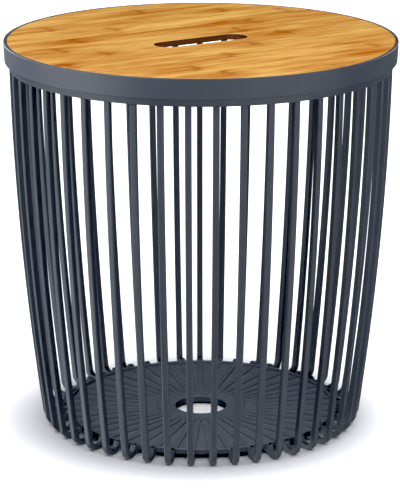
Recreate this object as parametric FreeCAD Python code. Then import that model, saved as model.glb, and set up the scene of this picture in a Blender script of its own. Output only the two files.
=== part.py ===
import FreeCAD
import Part
import math
import os

# Rim band, in millimetres, with the floor at zero height
rim_top = 391.0
rim_radius = 195.0
rim_height = 20.0
rim_wall = 3.2
rim_taper = 1.0
rim_edge_round = 0.8
rim_inner_round = 0.4

# Ledge inside the band, which carries the lid
ledge_width = 10.0
ledge_thickness = 3.0

# Lid board and its finger slot
lid_thickness = 6.2
lid_gap = 0.5
lid_edge_round = 0.6
slot_length = 103.0
slot_width = 29.0
slot_turn = 31.8
slot_forward = 11.5

# Upper ring, set back under the band
ring_gap = 2.4
ring_depth = 7.0
ring_show = 7.2

# Side bars: upright strips that bow outwards and turn under at the floor
bar_count = 45
first_bar_turn = -3.63
bar_width = 6.2
bar_depth = 5.8
bar_edge_round = 1.2
bar_floor_radius = 160.7
bar_bow = 5.4
foot_bend = 12.4
foot_flat = 0.3

# Pegs on the bars' tops, in sockets of the ring
peg_radius = 1.6
peg_length = 8.0
peg_root = 2.0
peg_gap = 0.1

# Base dish: plate, raised lip, drain hole with a collar, and one ray per bar
dish_seat = 5.0
plate_thickness = 2.0
ray_rise = 1.1
lip_rise = 3.4
lip_wall = 2.6
lip_round = 0.9
drain_radius = 26.0
drain_round = 0.8
collar_wall = 2.2
collar_clearance = 1.8
dish_gap = 0.2

# Seat toes under the dish, and the tips of the feet beside its lip
toe_reach = 2.4
toe_thickness = 2.4
tip_rise = 1.0

# Heights and radii that follow from the sizes above
lid_seat = rim_top - lid_thickness
ledge_underside = lid_seat - ledge_thickness
recess_radius = rim_radius - rim_wall
ring_radius = recess_radius - ring_gap
ring_bottom = rim_top - rim_height - ring_show
inner_bend = foot_bend - bar_depth
bend_height = foot_bend - foot_flat
plate_top = dish_seat + plate_thickness
lip_top = plate_top + lip_rise
tip_top = lip_top + tip_rise
tip_round = 0.75 * bar_edge_round
bar_pitch = 360.0 / bar_count

ORIGIN = FreeCAD.Vector(0, 0, 0)
UP = FreeCAD.Vector(0, 0, 1)
ACROSS = FreeCAD.Vector(0, -1, 0)


def at(radius, height):
    """A point of the upright plane through the axis that every bar lies in before it is turned."""
    return FreeCAD.Vector(radius, 0, height)


def hoop(corners):
    """A round solid from the corners of its half section."""
    points = [at(radius, height) for radius, height in corners]
    section = Part.Face(Part.makePolygon(points + points[:1]))
    return section.revolve(ORIGIN, UP, 360)


def round_edges(solid, radius, wanted):
    """The solid with every edge that the test picks rounded to the radius."""
    return solid.makeFillet(radius, [edge for edge in solid.Edges if wanted(edge)])


def within(radius, wall):
    """A rounding that leaves some flat on a thin wall."""
    return min(radius, 0.45 * wall)


def is_circle(edge, radius, height):
    """True for a circle about the axis at this radius and height."""
    if not isinstance(edge.Curve, Part.Circle):
        return False
    centre = edge.Curve.Center
    on_axis = math.hypot(centre.x, centre.y) < 1e-6
    return on_axis and abs(edge.Curve.Radius - radius) < 1e-6 and abs(centre.z - height) < 1e-6


def turned(solid, angle):
    """A copy turned about the upright axis."""
    copy = solid.copy()
    copy.rotate(ORIGIN, UP, angle)
    return copy


def bar_turn(index):
    """The turn of a bar; the first stands next to the front of the table, which faces minus Y."""
    return first_bar_turn + index * bar_pitch - 90


def make_rim_band():
    foot = rim_top - rim_height
    band = hoop([
        (rim_radius, rim_top),
        (rim_radius - rim_taper, foot),
        (recess_radius, foot),
        (recess_radius, ledge_underside),
        (recess_radius - ledge_width, ledge_underside),
        (recess_radius - ledge_width, lid_seat),
        (recess_radius, lid_seat),
        (recess_radius, rim_top),
    ])
    outer = [(rim_radius, rim_top), (rim_radius - rim_taper, foot)]
    outer_round = within(rim_edge_round, rim_wall - rim_taper)
    inner_round = within(rim_inner_round, rim_wall - rim_taper)
    band = round_edges(band, outer_round, lambda edge: any(is_circle(edge, *place) for place in outer))
    return round_edges(band, inner_round, lambda edge: is_circle(edge, recess_radius, rim_top))


def slot_face(height):
    """The finger slot's outline: two straight sides with round ends."""
    end = slot_width / 2
    half = slot_length / 2 - end
    outline = ((-half, -end), (half, -end), (half, end), (-half, end))
    corners = [FreeCAD.Vector(x, y, height) for x, y in outline]
    right_tip = FreeCAD.Vector(half + end, 0, height)
    left_tip = FreeCAD.Vector(-half - end, 0, height)
    return Part.Face(Part.Wire([
        Part.makeLine(corners[0], corners[1]),
        Part.Arc(corners[1], right_tip, corners[2]).toShape(),
        Part.makeLine(corners[2], corners[3]),
        Part.Arc(corners[3], left_tip, corners[0]).toShape(),
    ]))


def make_lid_board():
    board = Part.makeCylinder(recess_radius - lid_gap, lid_thickness, at(0, lid_seat))
    slot = turned(slot_face(lid_seat).extrude(UP * lid_thickness), slot_turn)
    slot.translate(FreeCAD.Vector(0, -slot_forward, 0))
    board = board.cut(slot)
    levels = (lid_seat, rim_top)

    def on_a_face(edge):
        box = edge.BoundBox
        return any(abs(box.ZMin - level) < 1e-6 and abs(box.ZMax - level) < 1e-6 for level in levels)

    return round_edges(board, within(lid_edge_round, lid_thickness), on_a_face)


def bar_top_centre():
    return ring_radius - bar_depth / 2


def make_upper_ring():
    ring = hoop([
        (ring_radius, ring_bottom),
        (ring_radius, ledge_underside),
        (ring_radius - ring_depth, ledge_underside),
        (ring_radius - ring_depth, ring_bottom),
    ])
    socket = Part.makeCylinder(peg_radius + peg_gap, peg_length + peg_gap, at(bar_top_centre(), ring_bottom))
    return ring.cut([turned(socket, bar_turn(index)) for index in range(bar_count)])


def side_line():
    """Centre and radius of the arc that the bars' outer faces follow from the floor to the ring."""
    low = at(bar_floor_radius, 0)
    high = at(ring_radius, ring_bottom)
    chord = high - low
    half = chord.Length / 2
    radius = (half ** 2 + bar_bow ** 2) / (2 * bar_bow)
    outwards = FreeCAD.Vector(chord.z, 0, -chord.x).normalize()
    return (low + high) * 0.5 + outwards * (bar_bow - radius), radius


def foot_centre():
    """Centre of the foot's bend, which meets the side line smoothly and lies on the floor."""
    centre, radius = side_line()
    reach = math.sqrt((radius - foot_bend) ** 2 - (bend_height - centre.z) ** 2)
    return at(centre.x + reach, bend_height)


def dish_radius():
    """The dish fits between the feet's inner legs."""
    return foot_centre().x - foot_bend - dish_gap


def bar_section():
    """The bar's rounded section, lying flat where the foot's bend starts to turn down."""
    corner = FreeCAD.Vector(foot_centre().x - foot_bend, -bar_width / 2, bend_height)
    stub = Part.makeBox(bar_depth, bar_width, bar_depth, corner)
    stub = round_edges(stub, bar_edge_round, lambda edge: edge.BoundBox.ZLength > bar_depth / 2)
    return min(stub.Faces, key=lambda face: face.CenterOfMass.z)


def bar_strip():
    """The bare strip of a bar: inner leg, bend of the foot, and bowed side, past both ends."""
    section = bar_section()
    leg = section.extrude(UP * foot_bend)
    bend = foot_centre()
    side_centre, side_radius = side_line()
    slope = math.degrees(math.asin((bend.z - side_centre.z) / (side_radius - foot_bend)))
    foot = section.revolve(bend, ACROSS, 180 + slope)
    joint = section.copy()
    joint.rotate(bend, ACROSS, 180 + slope)
    past_ring = ring_bottom + bar_depth
    top_slope = math.degrees(math.asin((past_ring - side_centre.z) / (side_radius - bar_depth)))
    side = joint.revolve(side_centre, ACROSS, top_slope - slope)
    return side.fuse([foot, leg]).removeSplitter()


def make_bar():
    bend = foot_centre()
    beside = FreeCAD.Vector(0, -bar_width, 0)
    below = Part.makeBox(rim_radius, 2 * bar_width, foot_bend, beside - UP * foot_bend)
    above = Part.makeBox(rim_radius, 2 * bar_width, rim_height, beside + UP * ring_bottom)
    over_tip = Part.makeBox(bend.x, 2 * bar_width, 2 * foot_bend, beside + UP * tip_top)
    bar = bar_strip().cut([below, above, over_tip])
    bar = round_edges(bar, tip_round, lambda edge: abs(edge.BoundBox.ZMin - tip_top) < 1e-6)
    peg = Part.makeCylinder(peg_radius, peg_root + peg_length, at(bar_top_centre(), ring_bottom - peg_root))
    toe_width = bar_width - 2 * bar_edge_round
    toe_start = dish_radius() - toe_reach
    toe_end = bend.x - inner_bend
    toe_corner = FreeCAD.Vector(toe_start, -toe_width / 2, dish_seat - toe_thickness)
    toe = Part.makeBox(toe_end - toe_start, toe_width, toe_thickness, toe_corner)
    return bar.fuse([peg, toe])


def make_base_dish():
    edge = dish_radius()
    lip_inside = edge - lip_wall
    collar_outside = drain_radius + collar_wall
    ray_top = plate_top + ray_rise
    merge_radius = bar_width / (2 * math.sin(math.radians(bar_pitch / 2)))
    hub = merge_radius + bar_edge_round
    dish = hoop([
        (drain_radius, ray_top),
        (hub, ray_top),
        (hub, plate_top),
        (lip_inside, plate_top),
        (lip_inside, lip_top),
        (edge, lip_top),
        (edge, dish_seat),
        (collar_outside, dish_seat),
        (collar_outside, collar_clearance),
        (drain_radius, collar_clearance),
    ])
    lip_edges = [(lip_inside, lip_top), (edge, lip_top)]
    lip_edge_round = within(lip_round, lip_wall)
    dish = round_edges(dish, lip_edge_round, lambda line: any(is_circle(line, *place) for place in lip_edges))
    drain_edge_round = within(drain_round, collar_wall)
    dish = round_edges(dish, drain_edge_round, lambda line: is_circle(line, drain_radius, ray_top))
    ray_corner = FreeCAD.Vector(merge_radius, -bar_width / 2, dish_seat + plate_thickness / 2)
    ray_end = edge - lip_wall / 2
    ray = Part.makeBox(ray_end - merge_radius, bar_width, ray_top - ray_corner.z, ray_corner)
    return dish.fuse([turned(ray, bar_turn(index)) for index in range(bar_count)]).removeSplitter()


def main():
    os.makedirs("parts", exist_ok=True)
    nodes = {
        "lid_board": make_lid_board(),
        "rim_band": make_rim_band(),
        "upper_ring": make_upper_ring(),
        "base_dish": make_base_dish(),
    }
    bar = make_bar()
    for index in range(bar_count):
        nodes[f"bar_{index + 1:02d}"] = turned(bar, bar_turn(index))
    for name, shape in nodes.items():
        shape.exportStep(f"parts/{name}.step")


main()
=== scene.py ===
import math

import bmesh
import bpy
from mathutils import Matrix, Vector


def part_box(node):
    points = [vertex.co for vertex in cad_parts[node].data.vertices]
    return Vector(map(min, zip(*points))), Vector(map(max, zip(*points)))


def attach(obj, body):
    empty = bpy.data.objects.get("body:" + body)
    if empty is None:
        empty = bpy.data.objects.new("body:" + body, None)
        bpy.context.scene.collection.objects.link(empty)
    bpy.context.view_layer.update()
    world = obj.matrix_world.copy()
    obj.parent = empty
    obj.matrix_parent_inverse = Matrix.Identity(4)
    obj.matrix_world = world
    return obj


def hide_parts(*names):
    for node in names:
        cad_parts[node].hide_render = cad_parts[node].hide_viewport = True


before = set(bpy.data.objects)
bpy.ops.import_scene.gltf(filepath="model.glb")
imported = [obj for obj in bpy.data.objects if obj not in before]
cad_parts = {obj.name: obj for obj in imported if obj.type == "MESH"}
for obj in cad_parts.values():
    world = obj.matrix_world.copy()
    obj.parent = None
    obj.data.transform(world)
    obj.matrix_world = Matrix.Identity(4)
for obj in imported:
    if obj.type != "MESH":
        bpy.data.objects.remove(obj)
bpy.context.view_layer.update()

MM = 0.001
ORIGIN = Vector((0, 0, 0))
ALONG = Vector((1, 0, 0))
SIDEWAYS = Vector((0, 1, 0))
UP = Vector((0, 0, 1))


def extent(node):
    """Outer radius, foot and top of a round node that stands on the axis."""
    low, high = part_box(node)
    return min(high.x, high.y, -low.x, -low.y), low.z, high.z


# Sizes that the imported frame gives, in metres
rim_radius, rim_foot, rim_top = extent("rim_band")
lid_radius, lid_seat, lid_top = extent("lid_board")
ring_radius, ring_bottom, ring_top = extent("upper_ring")
dish_radius, collar_foot, lip_top = extent("base_dish")

# Rim band and upper ring
rim_wall = 3.2 * MM
rim_taper = 1.0 * MM
rim_edge_round = 0.8 * MM
rim_inner_round = 0.4 * MM
ledge_width = 10.0 * MM
ledge_thickness = 3.0 * MM
ledge_round = 0.5 * MM
ring_depth = 7.0 * MM
ring_round = 0.7 * MM

# Lid board: finger slot, edge rounding and the strips it is glued from
lid_edge_round = 0.6 * MM
slot_length = 103.0 * MM
slot_width = 29.0 * MM
slot_turn = math.radians(31.8)
slot_forward = 11.5 * MM
strip_width = 34.0 * MM
node_spacing = 205.0 * MM

# Strips from front to back: tone, and where the node lies along the grain in millimetres
STRIPS = [
    (-0.9, 40),
    (-0.1, -66),
    (0.0, -80),
    (-0.6, -20),
    (-0.2, 30),
    (0.1, -118),
    (0.6, 57),
    (-1.0, 92),
    (0.5, -50),
    (0.1, -107),
    (0.7, 20),
    (0.4, 130),
]

# Side bars
bar_count = 45
first_bar_turn = math.radians(-3.63)
bar_width = 6.2 * MM
bar_depth = 5.8 * MM
bar_edge_round = 1.2 * MM
bar_floor_radius = 160.7 * MM
bar_bow = 5.4 * MM
foot_bend = 12.4 * MM
foot_flat = 0.3 * MM
tip_rise = 1.0 * MM
tip_round = 0.9 * MM
toe_reach = 2.4 * MM
toe_thickness = 2.4 * MM

# Base dish
dish_seat = 5.0 * MM
plate_thickness = 2.0 * MM
ray_rise = 1.1 * MM
ray_root = 0.6 * MM
ray_round = 0.35 * MM
lip_wall = 2.6 * MM
lip_round = 0.9 * MM
drain_radius = 26.0 * MM
drain_round = 0.8 * MM
collar_wall = 2.2 * MM
collar_round = 0.4 * MM

# Fineness of the meshes
round_steps = 240
foot_steps = 28
side_steps = 26
corner_segments = 4
lid_edge_segments = 5
small_edge_segments = 3
cut_tolerance = 1e-7
lid_edge_angle = math.radians(45)
smooth_angle = math.radians(38)

# How far normals point up: corners below the first are undersides, faces within the second are upright
underside_rise = -0.3
upright_rise = 0.5

# Studio, in metres
floor_reach = 8.0
floor_drop = 0.05 * MM
lamp_distance = 3.0
high_lamp = 4.20
level_lamp = 0.60
low_lamp = -1.60
table_middle = UP * 0.2

# The photo's camera: place in metres, pitch in degrees, focal length and frame height in pixels
camera_place = (-0.0009, -2.430, 0.869)
camera_pitch = 15.94
focal_pixels = 2501
frame_pixels = 497
sensor_width = 36.0

# Black level of the view's curve
black_level = 0.030


def bevelled(bm, geom, size, segments, affect):
    """Rounds these edges, or these corners of an outline."""
    bmesh.ops.bevel(
        bm,
        geom=geom,
        offset=size,
        offset_type="OFFSET",
        segments=segments,
        profile=0.5,
        affect=affect,
        material=-1,
    )


def everything(bm):
    """All of a mesh, as the operators take it."""
    return bm.verts[:] + bm.edges[:] + bm.faces[:]


def turn_about_axis(bm, angle, verts):
    """Turns these corners about the upright axis."""
    bmesh.ops.rotate(bm, cent=ORIGIN, matrix=Matrix.Rotation(angle, 3, "Z"), verts=verts)


def outline(places, roundings):
    """A mesh of one closed outline of edges, with each corner rounded."""
    bm = bmesh.new()
    corners = [bm.verts.new(place) for place in places]
    bm.faces.new(corners)
    for corner, rounding in zip(corners, roundings):
        if rounding:
            bevelled(bm, [corner], rounding, corner_segments, "VERTICES")
    bmesh.ops.delete(bm, geom=bm.faces[:], context="FACES_ONLY")
    return bm


def revolved(corners):
    """A round mesh from the corners of its half section: radius, height and rounding."""
    places = [(radius, 0, height) for radius, height, _ in corners]
    bm = outline(places, [rounding for _, _, rounding in corners])
    bmesh.ops.spin(
        bm,
        geom=bm.verts[:] + bm.edges[:],
        cent=ORIGIN,
        axis=UP,
        angle=math.tau,
        steps=round_steps,
        use_merge=True,
    )
    return bm


def add_block(bm, low, high):
    """A box between two corners."""
    verts = bmesh.ops.create_cube(bm, size=1.0)["verts"]
    low, high = Vector(low), Vector(high)
    bmesh.ops.scale(bm, vec=high - low, verts=verts)
    bmesh.ops.translate(bm, vec=(low + high) / 2, verts=verts)


def mark_wear_and_highlight(bm, axis):
    """Marks rounded edges as worn, and on the lid also for a painted highlight: 1 midway between the
    axis and square to it, 0 on flats.
    """
    bmesh.ops.recalc_face_normals(bm, faces=bm.faces[:])
    bm.normal_update()
    wear_and_highlight = bm.verts.layers.float.new("wear_and_highlight")
    for vert in bm.verts:
        lean = min(1.0, abs(vert.normal.dot(axis)))
        # Undersides are out of reach and out of the light, and stay unmarked
        if vert.normal.z > underside_rise:
            vert[wear_and_highlight] = 2 * lean * math.sqrt(1 - lean ** 2)


def add_piece(bm, node, body, material):
    """The visual piece that stands for one node of the frame."""
    mesh = bpy.data.meshes.new(node + "_look")
    bm.to_mesh(mesh)
    bm.free()
    mesh.shade_smooth()
    mesh.set_sharp_from_angle(angle=smooth_angle)
    mesh.materials.append(material)
    piece = bpy.data.objects.new(node + "_look", mesh)
    bpy.context.scene.collection.objects.link(piece)
    normals = piece.modifiers.new("normals", "WEIGHTED_NORMAL")
    normals.keep_sharp = True
    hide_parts(node)
    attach(piece, body)
    return piece


class Shade:
    """An output of a material's node tree, which takes part in plain arithmetic."""

    def __init__(self, tree, socket=None):
        self.tree = tree
        self.socket = socket

    def node(self, kind, inputs=(), output=0, stops=(), **settings):
        """Adds a node with its settings, ramp stops and inputs, and returns one of its outputs."""
        made = self.tree.nodes.new(kind)
        for name, value in settings.items():
            setattr(made, name, value)
        for index, (place, grey) in enumerate(stops):
            elements = made.color_ramp.elements
            stop = elements.new(place) if index > 1 else elements[index]
            stop.position = place
            stop.color = (grey, grey, grey, 1.0)
        for key, value in dict(inputs).items():
            if isinstance(value, Shade):
                self.tree.links.new(value.socket, made.inputs[key])
            else:
                made.inputs[key].default_value = value
        return Shade(self.tree, made.outputs[output] if made.outputs else None)

    def arithmetic(self, operation, *values):
        """One Math node."""
        return self.node("ShaderNodeMath", enumerate(values), operation=operation)

    def __add__(self, other):
        return self.arithmetic("ADD", self, other)

    def __radd__(self, other):
        return self.arithmetic("ADD", other, self)

    def __sub__(self, other):
        return self.arithmetic("SUBTRACT", self, other)

    def __rsub__(self, other):
        return self.arithmetic("SUBTRACT", other, self)

    def __mul__(self, other):
        return self.arithmetic("MULTIPLY", self, other)

    def __rmul__(self, other):
        return self.arithmetic("MULTIPLY", other, self)

    def __abs__(self):
        return self.arithmetic("ABSOLUTE", self)

    def wrapped(self, spacing):
        """The distance to the nearest multiple of the spacing, with its sign."""
        return self.arithmetic("WRAP", self, spacing / 2, -spacing / 2)

    def ramp(self, low, high, start=0.0, end=1.0):
        """A smooth change from start to end while this goes from low to high."""
        values = {"Value": self, "From Min": low, "From Max": high, "To Min": start, "To Max": end}
        return self.node("ShaderNodeMapRange", values, interpolation_type="SMOOTHSTEP", clamp=True)

    def mixed(self, first, second):
        """The first colour where this is 0 and the second where it is 1."""
        values = {0: self, 6: first, 7: second}
        return self.node("ShaderNodeMix", values, 2, data_type="RGBA", clamp_factor=True)

    def noise(self, scale, detail=2.0, roughness=0.5):
        """Noise at this place, about zero."""
        values = {"Vector": self, "Scale": scale, "Detail": detail, "Roughness": roughness}
        return self.node("ShaderNodeTexNoise", values) - 0.5

    def stretched(self, x, y, z):
        """This place with each direction scaled by its own factor."""
        return self.node("ShaderNodeVectorMath", {0: self, 1: (x, y, z)}, operation="MULTIPLY")

    def shifted_along(self, distance):
        """This place moved along its first direction."""
        shift = self.node("ShaderNodeCombineXYZ", {"X": distance})
        return self.node("ShaderNodeVectorMath", {0: self, 1: shift}, operation="ADD")

    def turned(self, angle):
        """This place turned about the upright axis."""
        return self.node("ShaderNodeMapping", {"Vector": self, "Rotation": (0.0, 0.0, angle)})

    def split(self):
        """The three numbers of this place."""
        return [self.node("ShaderNodeSeparateXYZ", {0: self}, axis) for axis in "XYZ"]

    def attribute(self, name):
        """A number that the mesh holds."""
        return self.node("ShaderNodeAttribute", output="Fac", attribute_name=name)


def new_material(name):
    """A material with an empty node tree, and the place on the piece in millimetres."""
    material = bpy.data.materials.new(name)
    material.use_nodes = True
    material.node_tree.nodes.clear()
    shade = Shade(material.node_tree)
    place = shade.node("ShaderNodeTexCoord", output="Object").stretched(1 / MM, 1 / MM, 1 / MM)
    return material, shade, place


def surface(shade, base, roughness, relief, depth, **constants):
    """The material's one surface shader, with a relief of the given depth in metres."""
    bump = shade.node("ShaderNodeBump", {"Height": relief, "Strength": 1.0, "Distance": depth})
    inputs = {"Base Color": base, "Roughness": roughness, "Normal": bump, **constants}
    principled = shade.node("ShaderNodeBsdfPrincipled", inputs)
    shade.node("ShaderNodeOutputMaterial", {"Surface": principled})


def colour(red, green, blue):
    """A colour given as it looks on a screen, from 0 to 255."""
    return (*[((part / 255 + 0.055) / 1.055) ** 2.4 for part in (red, green, blue)], 1.0)


def make_slate():
    """Matte slate plastic: moulded grain, faint flow marks, pale scuffed edges, dust near the floor."""
    dark_slate = colour(80, 86, 97)
    pale_slate = colour(97, 103, 114)
    scuffed_slate = colour(128, 136, 150)
    dust_grey = colour(150, 148, 146)
    material, shade, place = new_material("slate_plastic_look")
    wear_and_highlight = shade.attribute("wear_and_highlight").ramp(0.3, 1.0)
    height = place.split()[2]
    mottle = place.noise(0.035, 3.0, 0.55)
    flow = place.stretched(0.25, 0.25, 0.012).noise(1.0, 3.0)
    grain = place.noise(2.6, 2.0, 0.6)
    scuff = place.noise(0.5, 4.0, 0.7)
    dust = place.noise(0.12, 4.0, 0.65).ramp(-0.05, 0.25) * height.ramp(0.0, 40.0, 1.0, 0.0)
    tone = mottle * 0.5 + flow * 0.35 + grain * 0.25 + 0.5
    base = tone.mixed(dark_slate, pale_slate)
    base = (wear_and_highlight * (scuff.ramp(-0.12, 0.2) * 0.24 + 0.06)).mixed(base, scuffed_slate)
    base = (dust * 0.18).mixed(base, dust_grey)
    roughness = grain * 0.12 + mottle * 0.12 - wear_and_highlight * 0.06 + dust * 0.12 + 0.5
    surface(shade, base, roughness, grain * 0.6 + scuff * 0.4, depth=0.06 * MM, IOR=1.49)
    return material


def make_bamboo():
    """Oiled bamboo strips: fibres drawn out along the grain, soft brown nodes, thin glue lines, paler
    worn edges with a painted highlight, and painted shade on the slot's walls.
    """
    dark_bamboo = colour(168, 92, 33)
    pale_bamboo = colour(232, 188, 110)
    node_brown = colour(126, 60, 18)
    glue_brown = colour(150, 86, 28)
    # Colour of the slot's walls: painted shade from inside the slot, over the darker brown of cut
    # bamboo
    slot_shade_brown = colour(102, 68, 58)
    # Colour of rounded edges: paler worn wood, with a painted highlight where the rounding catches
    # light
    worn_edge_and_highlight_bamboo = colour(240, 202, 138)
    material, shade, place = new_material("bamboo_look")
    wear_and_highlight = shade.attribute("wear_and_highlight").ramp(0.3, 1.0)
    knot = shade.attribute("knot")
    seed = shade.attribute("seed")
    slot_shade = shade.attribute("slot_shade")
    grain = place.turned(-slot_turn)
    along, across, _ = grain.split()
    strip = strip_width / MM
    fibre_shift = 371.0

    # Tone of the strips, which run into each other softly
    count = len(STRIPS)
    stops = [((index + 0.5) / count, 0.5 + 0.5 * tone) for index, (tone, _) in enumerate(STRIPS)]
    stops = [stops[0], stops[-1]] + stops[1:-1]
    wander = grain.stretched(0.006, 0.03, 0.03).noise(1.0, 2.0)
    share = (across + wander * 30.0) * (1 / (count * strip)) + 0.5
    tone = shade.node("ShaderNodeValToRGB", {"Fac": share}, stops=stops)

    # Fibres: broad streaks over all strips, and flecks, fine lines and hairs that differ between strips
    fibre = grain.shifted_along(seed * fibre_shift)
    broad = grain.stretched(0.007, 0.06, 0.06).noise(1.0, 3.0, 0.55)
    fleck = fibre.stretched(0.025, 0.25, 0.25).noise(1.0, 3.0, 0.6)
    fine = fibre.stretched(0.016, 0.8, 0.8).noise(1.0, 3.0, 0.6)
    hair = fibre.stretched(0.05, 3.4, 3.4).noise(1.0, 2.0, 0.6)

    # Nodes: a ragged brown mark over the middle of a strip, and a cast that fades along the grain
    edge = abs(across.wrapped(strip))
    inside = (edge + fleck * 14.0).ramp(0.0, 9.0)
    sway = fibre.stretched(0.0, 0.09, 0.09).noise(1.0, 3.0, 0.6)
    distance = (along - knot).wrapped(node_spacing / MM) + sway * 26.0
    ragged = fibre.stretched(0.12, 0.5, 0.5).noise(1.0, 4.0, 0.7)
    mark = abs(distance + ragged * 20.0).ramp(1.0, 8.0, 1.0, 0.0)
    mark = mark * (ragged + fine).ramp(-0.25, 0.2) * inside
    cast = distance.ramp(-75.0, -2.0) * distance.ramp(-2.0, 34.0, 1.0, 0.0) * inside
    glue = edge.ramp(0.1, 0.5, 1.0, 0.0)

    level = tone * 0.22 + broad * 1.6 + fleck * 1.25 + fine * 1.1 + hair * 0.7 - cast * 0.26 + 0.46
    base = level.mixed(dark_bamboo, pale_bamboo)
    base = (mark * 0.62).mixed(base, node_brown)
    base = (glue * 0.14).mixed(base, glue_brown)
    # Painted shade: the slot's walls turn dark brown, standing in for the shade inside the slot
    base = (slot_shade * 0.94).mixed(base, slot_shade_brown)
    # Rounded edges turn paler: partly worn wood, partly a painted highlight
    base = (wear_and_highlight * 0.35).mixed(base, worn_edge_and_highlight_bamboo)
    roughness = hair * 0.22 + fine * 0.16 + mark * 0.12 - wear_and_highlight * 0.05 + 0.52
    relief = hair * 0.5 + fine * 0.5 - mark * 0.5 - glue * 0.8
    surface(shade, base, roughness, relief, depth=0.09 * MM, IOR=1.42)
    return material


def make_floor_material():
    """Pale paint with the faintest drift of tone."""
    dim_paint = colour(240, 241, 247)
    bright_paint = colour(245, 246, 251)
    material, shade, place = new_material("floor")
    drift = place.noise(0.004, 3.0)
    base = (drift + 0.5).mixed(dim_paint, bright_paint)
    surface(shade, base, drift * 0.06 + 0.40, drift, depth=0.002 * MM, IOR=1.20)
    return material


slate = make_slate()
bamboo = make_bamboo()


def make_rim():
    """The band round the lid, with the ledge that carries it."""
    recess = rim_radius - rim_wall
    shelf = recess - ledge_width
    shelf_foot = lid_seat - ledge_thickness
    bm = revolved([
        (rim_radius, rim_top, rim_edge_round),
        (rim_radius - rim_taper, rim_foot, rim_edge_round),
        (recess, rim_foot, rim_inner_round),
        (recess, shelf_foot, 0),
        (shelf, shelf_foot, ledge_round),
        (shelf, lid_seat, ledge_round),
        (recess, lid_seat, 0),
        (recess, rim_top, rim_inner_round),
    ])
    mark_wear_and_highlight(bm, UP)
    return add_piece(bm, "rim_band", "basket", slate)


def make_ring():
    """The ring under the band, which stands on the bars."""
    inside = ring_radius - ring_depth
    bm = revolved([
        (ring_radius, ring_top, 0),
        (ring_radius, ring_bottom, ring_round),
        (inside, ring_bottom, ring_round),
        (inside, ring_top, 0),
    ])
    mark_wear_and_highlight(bm, UP)
    return add_piece(bm, "upper_ring", "basket", slate)


def add_circle(bm, radius):
    """A circle of edges about the axis."""
    return bmesh.ops.create_circle(bm, cap_ends=False, radius=radius, segments=round_steps)["verts"]


def make_lid():
    """The lid board with its finger slot, which is a circle drawn out along the grain."""
    bm = bmesh.new()
    add_circle(bm, lid_radius)
    slot = add_circle(bm, slot_width / 2)
    ends = (slot_length - slot_width) / 2
    right = [vert for vert in slot if vert.co.x >= 0]
    left = [vert for vert in slot if vert.co.x < 0]
    bmesh.ops.translate(bm, vec=ALONG * ends, verts=right)
    bmesh.ops.translate(bm, vec=-ALONG * ends, verts=left)
    turn_about_axis(bm, slot_turn, slot)
    bmesh.ops.translate(bm, vec=-SIDEWAYS * slot_forward, verts=slot)
    bmesh.ops.bridge_loops(bm, edges=bm.edges[:])
    bmesh.ops.translate(bm, vec=UP * lid_seat, verts=bm.verts[:])
    upper = bmesh.ops.extrude_face_region(bm, geom=bm.faces[:])["geom"]
    upper = [part for part in upper if isinstance(part, bmesh.types.BMVert)]
    bmesh.ops.translate(bm, vec=UP * (lid_top - lid_seat), verts=upper)
    bmesh.ops.recalc_face_normals(bm, faces=bm.faces[:])
    edges = [edge for edge in bm.edges if edge.calc_face_angle() > lid_edge_angle]
    bevelled(bm, edges, lid_edge_round, lid_edge_segments, "EDGES")
    mark_wear_and_highlight(bm, UP)
    mark_strips(bm)
    return add_piece(bm, "lid_board", "lid", bamboo)


def mark_strips(bm):
    """Cuts the lid's faces along the glue lines, and gives each face its strip's values."""
    across = Matrix.Rotation(slot_turn, 3, "Z") @ SIDEWAYS
    half = len(STRIPS) // 2
    for index in range(1 - half, half):
        bmesh.ops.bisect_plane(
            bm,
            geom=everything(bm),
            dist=cut_tolerance,
            plane_co=across * (index * strip_width),
            plane_no=across,
        )
    knot = bm.faces.layers.float.new("knot")
    seed = bm.faces.layers.float.new("seed")
    slot_shade = bm.faces.layers.float.new("slot_shade")
    for face in bm.faces:
        centre = face.calc_center_median()
        index = math.floor(centre.dot(across) / strip_width) + half
        index = min(max(index, 0), len(STRIPS) - 1)
        face[seed] = index
        face[knot] = STRIPS[index][1]
        # Upright faces this near the axis are the slot's walls, which take the painted shade
        face[slot_shade] = float(abs(face.normal.z) < upright_rise and centre.xy.length < slot_length)


def bar_turn(index):
    """The turn of a bar; the first stands next to the front, which faces minus Y."""
    return first_bar_turn + math.tau * index / bar_count - math.pi / 2


def make_rays(start, end, top):
    """The dish's raised rays, one in line with each bar."""
    bm = bmesh.new()
    half = bar_width / 2
    add_block(bm, (start, -half, top - ray_rise - ray_root), (end, half, top))
    upper = [edge for edge in bm.edges if all(vert.co.z > top - ray_rise for vert in edge.verts)]
    bevelled(bm, upper, ray_round, small_edge_segments, "EDGES")
    turn_about_axis(bm, bar_turn(0), bm.verts[:])
    copies = bar_count - 1
    bmesh.ops.spin(
        bm,
        geom=everything(bm),
        cent=ORIGIN,
        axis=UP,
        angle=math.tau * copies / bar_count,
        steps=copies,
        use_duplicate=True,
    )
    mesh = bpy.data.meshes.new("rays")
    bm.to_mesh(mesh)
    bm.free()
    return mesh


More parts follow.
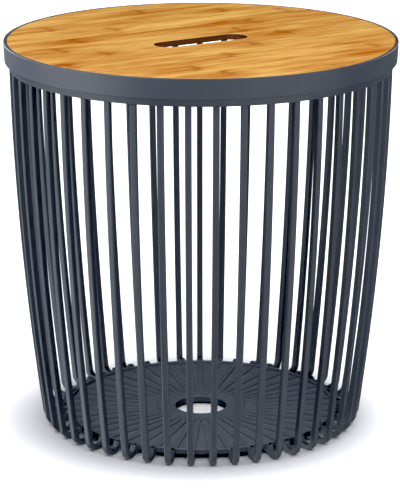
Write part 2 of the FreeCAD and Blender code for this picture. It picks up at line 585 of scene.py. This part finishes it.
def make_dish():
    """The plate on the feet, with its lip, its rays and the drain hole's collar."""
    plate_top = dish_seat + plate_thickness
    ray_top = plate_top + ray_rise
    lip_inside = dish_radius - lip_wall
    ray_end = lip_inside + lip_wall / 3
    collar = drain_radius + collar_wall
    merge = bar_width / (2 * math.sin(math.pi / bar_count))
    hub = merge + bar_edge_round
    bm = revolved([
        (drain_radius, ray_top, drain_round),
        (hub, ray_top, ray_round),
        (hub, plate_top, 0),
        (lip_inside, plate_top, 0),
        (lip_inside, lip_top, lip_round),
        (dish_radius, lip_top, lip_round),
        (dish_radius, dish_seat, ray_round),
        (collar, dish_seat, 0),
        (collar, collar_foot, collar_round),
        (drain_radius, collar_foot, collar_round),
    ])
    mark_wear_and_highlight(bm, UP)
    rays = make_rays(merge, ray_end, ray_top)
    bm.from_mesh(rays)
    bpy.data.meshes.remove(rays)
    return add_piece(bm, "base_dish", "basket", slate)


def cut_off(bm, height, side, geom):
    """Cuts away what lies past a level on one side, and closes the cut with a face."""
    cut = bmesh.ops.bisect_plane(
        bm,
        geom=geom,
        dist=cut_tolerance,
        plane_co=UP * height,
        plane_no=side,
        clear_outer=True,
    )
    edges = [part for part in cut["geom_cut"] if isinstance(part, bmesh.types.BMEdge)]
    return bmesh.ops.contextual_create(bm, geom=edges)["faces"]


def swept(bm, geom, centre, angle, steps):
    """Sweeps an outline about a centre in the bar's plane, and returns the outline where it ends."""
    sweep = bmesh.ops.spin(bm, geom=geom, cent=centre, axis=-SIDEWAYS, angle=angle, steps=steps)
    return sweep["geom_last"]


def make_bar():
    """One bar in the upright plane through the axis, before it is turned into its place."""
    low = ALONG * bar_floor_radius
    high = ALONG * ring_radius + UP * ring_bottom
    chord = high - low
    side_radius = ((chord.length / 2) ** 2 + bar_bow ** 2) / (2 * bar_bow)
    outwards = Vector((chord.z, 0, -chord.x)).normalized()
    side_centre = (low + high) / 2 + outwards * (bar_bow - side_radius)
    bend_height = foot_bend - foot_flat
    reach = math.sqrt((side_radius - foot_bend) ** 2 - (bend_height - side_centre.z) ** 2)
    bend = Vector((side_centre.x + reach, 0, bend_height))
    slope = math.asin((bend_height - side_centre.z) / (side_radius - foot_bend))
    top_slope = math.asin((ring_bottom + bar_depth - side_centre.z) / (side_radius - bar_depth))

    # The strip's section, swept round the foot's bend and then up the bowed side
    inner = bend.x - foot_bend
    outer = inner + bar_depth
    half = bar_width / 2
    corners = [(inner, -half), (outer, -half), (outer, half), (inner, half)]
    bm = outline([(x, y, bend_height) for x, y in corners], [bar_edge_round] * 4)
    foot = swept(bm, bm.verts[:] + bm.edges[:], bend, math.pi + slope, foot_steps)
    swept(bm, foot, side_centre, top_slope - slope, side_steps)
    cut_off(bm, ring_bottom, UP, everything(bm))
    cut_off(bm, 0, -UP, everything(bm))

    # The inner leg ends in a rounded tip beside the dish's lip
    leg = [face for face in bm.faces if face.calc_center_median().x < outer]
    leg_edges = [edge for edge in bm.edges if any(face in leg for face in edge.link_faces)]
    leg_verts = [vert for vert in bm.verts if any(face in leg for face in vert.link_faces)]
    caps = cut_off(bm, lip_top + tip_rise, UP, leg_verts + leg_edges + leg)
    cap_edges = [edge for face in caps for edge in face.edges]
    bevelled(bm, cap_edges, tip_round, small_edge_segments, "EDGES")

    # The toe under the dish
    toe = half - bar_edge_round
    toe_start = dish_radius - toe_reach
    add_block(bm, (toe_start, -toe, dish_seat - toe_thickness), (outer, toe, dish_seat))
    mark_wear_and_highlight(bm, SIDEWAYS)
    return bm


def make_bars():
    """The bars, each a copy of one that is turned into its place."""
    bar = make_bar()
    bars = []
    for index in range(bar_count):
        bm = bar.copy()
        turn_about_axis(bm, bar_turn(index), bm.verts[:])
        bars.append(add_piece(bm, f"bar_{index + 1:02d}", "basket", slate))
    bar.free()
    return bars


def make_floor():
    """A plain pale floor that throws no light back onto the table."""
    bm = bmesh.new()
    bmesh.ops.create_grid(bm, x_segments=1, y_segments=1, size=floor_reach)
    bmesh.ops.translate(bm, vec=-UP * floor_drop, verts=bm.verts[:])
    mesh = bpy.data.meshes.new("floor")
    bm.to_mesh(mesh)
    bm.free()
    mesh.materials.append(make_floor_material())
    floor = bpy.data.objects.new("floor", mesh)
    floor.visible_diffuse = False
    floor.visible_glossy = False
    bpy.context.scene.collection.objects.link(floor)
    return floor


def gathered(name, members):
    """A collection of pieces that lamps fall on or are shaded by."""
    collection = bpy.data.collections.new(name)
    for member in members:
        collection.objects.link(member)
    return collection


def add_lamp(light, place, target, lit, blockers):
    """Puts a light at a place, facing its target; only the blockers, or else all, shade it."""
    lamp = bpy.data.objects.new(light.name, light)
    lamp.location = place
    lamp.rotation_euler = (Vector(target) - Vector(place)).to_track_quat("-Z", "Y").to_euler()
    lamp.light_linking.receiver_collection = lit
    lamp.light_linking.blocker_collection = blockers
    bpy.context.scene.collection.objects.link(lamp)


def add_softbox(name, place, size, power, lit, blockers=None, target=table_middle):
    """A square-cornered soft lamp: width and height in metres, power in watts."""
    light = bpy.data.lights.new(name, "AREA")
    light.shape = "RECTANGLE"
    light.size, light.size_y = size
    light.energy = power
    add_lamp(light, place, target, lit, blockers)


def add_sky(name, place, spread, power, lit, blockers=None):
    """Even light from a round patch of sky above the table; the spread is in degrees."""
    light = bpy.data.lights.new(name, "SUN")
    light.angle = math.radians(spread)
    light.energy = power
    add_lamp(light, place, ORIGIN, lit, blockers)


def around(turn, height):
    """A lamp's place round the table; turns count in degrees from the front, right is positive."""
    angle = math.radians(turn)
    return lamp_distance * math.sin(angle), -lamp_distance * math.cos(angle), height


def make_world():
    """A white world that only the camera sees."""
    world = bpy.data.worlds.new("studio")
    bpy.context.scene.world = world
    world.use_nodes = True
    world.node_tree.nodes["Background"].inputs["Color"].default_value = (1.0, 1.0, 1.0, 1.0)
    world.cycles_visibility.diffuse = False
    world.cycles_visibility.glossy = False


def make_light(floor, lid, dish, hoops, bars):
    """Soft lamps with flags: each one falls only on the pieces that it is named with."""
    rims = gathered("rims", hoops)
    sides = gathered("sides", hoops + bars)
    foot = gathered("foot", [dish] + bars)
    top = gathered("top", [lid])
    inside = gathered("inside", [dish])
    stage = gathered("stage", [floor])

    # Basket: low lamps stand in for the light that a pale floor throws up
    square = (1.0, 1.0)
    add_softbox("left", around(-93.0, high_lamp), square, 88.0, sides)
    add_softbox("left_level", around(-93.0, level_lamp), square, 18.0, sides)
    add_softbox("left_low", around(-93.0, low_lamp), square, 24.0, sides, foot)
    add_softbox("front_left", around(-64.0, high_lamp), square, 86.0, sides)
    add_softbox("front_left_level", around(-58.0, 0.20), (1.0, 0.4), 15.0, sides)
    add_softbox("front_left_low", around(-60.0, -1.00), square, 15.0, sides, foot)
    add_softbox("front", around(0.0, 0.40), (0.8, 0.8), 9.0, sides)
    add_softbox("front_right", around(32.0, 0.40), (0.8, 0.8), 19.0, sides)
    add_softbox("right", around(58.0, high_lamp), square, 56.0, sides)
    add_softbox("right_level", around(62.0, level_lamp), square, 14.0, sides)
    add_softbox("right_low", around(62.0, low_lamp), square, 14.0, sides, foot)
    add_softbox("back_left", around(-145.0, 0.90), (1.2, 1.2), 50.0, sides)
    add_softbox("back_right", around(138.0, 0.90), (1.2, 1.2), 32.0, sides)
    add_softbox("band_left", around(-76.0, level_lamp), square, 11.0, rims)
    add_softbox("band_right", around(58.0, level_lamp), square, 5.0, rims)
    add_softbox("bounce", (0.0, 0.0, -0.80), (1.2, 1.2), 2.0, sides, foot)

    # Lid and dish
    wide = (1.6, 1.0)
    add_softbox("top", (0.0, -1.50, 2.80), (1.5, 1.5), 132.0, top)
    add_softbox("inside_back", (-0.50, 0.80, 2.30), wide, 32.0, inside, foot, ORIGIN)
    add_softbox("inside_front", (0.0, -1.90, 1.30), wide, 46.0, inside, foot, ORIGIN)

    # Floor: the last sky is shaded by nothing but the floor, and keeps the shadow from going black
    add_sky("floor_top", (0.02, 0.02, 1.0), 12.0, 2.6, stage)
    add_sky("floor_sky", (0.05, 0.0, 1.0), 84.0, 3.9, stage)
    add_sky("floor_base", UP, 120.0, 0.10, stage, stage)


def make_camera():
    """The photo's camera; the focal length in pixels is turned into one for the sensor."""
    data = bpy.data.cameras.new("camera")
    data.sensor_width = sensor_width
    data.lens = sensor_width * focal_pixels / frame_pixels
    camera = bpy.data.objects.new("camera", data)
    camera.location = camera_place
    camera.rotation_euler = (math.radians(90 - camera_pitch), 0, 0)
    bpy.context.scene.collection.objects.link(camera)
    bpy.context.scene.camera = camera


def set_view():
    """A plain view with slightly deepened shadows."""
    view = bpy.context.scene.view_settings
    view.view_transform = "Standard"
    view.use_curve_mapping = True
    view.curve_mapping.black_level = (black_level, black_level, black_level)
    view.curve_mapping.update()


hoops = [make_rim(), make_ring()]
lid = make_lid()
dish = make_dish()
bars = make_bars()
floor = make_floor()
make_world()
make_light(floor, lid, dish, hoops, bars)
make_camera()
set_view()
